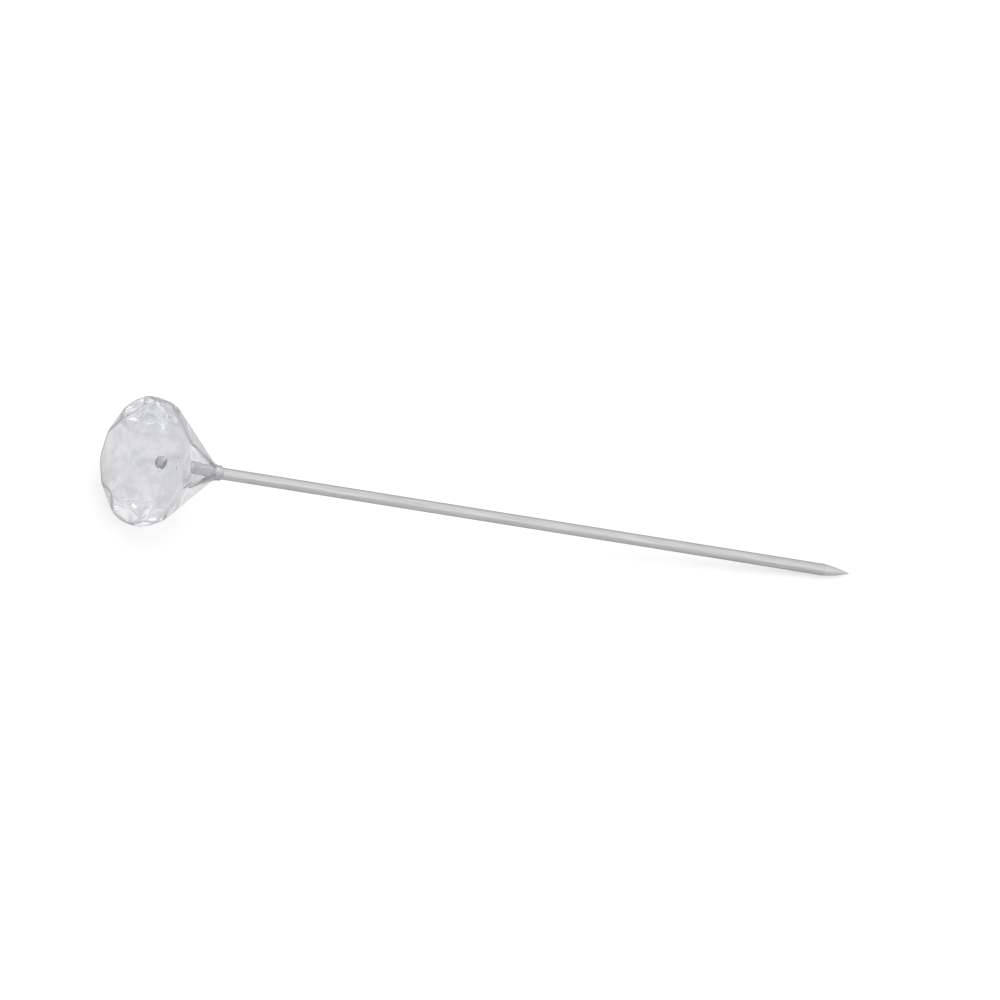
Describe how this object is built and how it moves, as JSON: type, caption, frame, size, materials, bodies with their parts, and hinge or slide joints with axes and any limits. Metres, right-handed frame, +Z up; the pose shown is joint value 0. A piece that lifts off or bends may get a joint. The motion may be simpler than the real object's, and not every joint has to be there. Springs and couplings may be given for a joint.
{
  "type": "straight pin",
  "caption": "Straight steel wire pin with a ground point and a large clear head faceted like a cut gem, for pinning stems, ribbon and fabric.",
  "frame": {"origin": "centre of the pin's bounding box in plan, on the surface that it lies on", "axes": "+X along the pin towards its point, +Z up from the surface; the pin lies on a girdle flat of its head and on the shoulder of its point"},
  "size_m": [0.0636, 0.0096, 0.0097],
  "materials": {
    "steel_wire": "satin drawn wire, ground at the point",
    "clear_acrylic": "clear, glossy moulded acrylic"
  },
  "bodies": {
    "root": {"wire_shank": "steel_wire", "faceted_head": "clear_acrylic"}
  },
  "joints": []
}
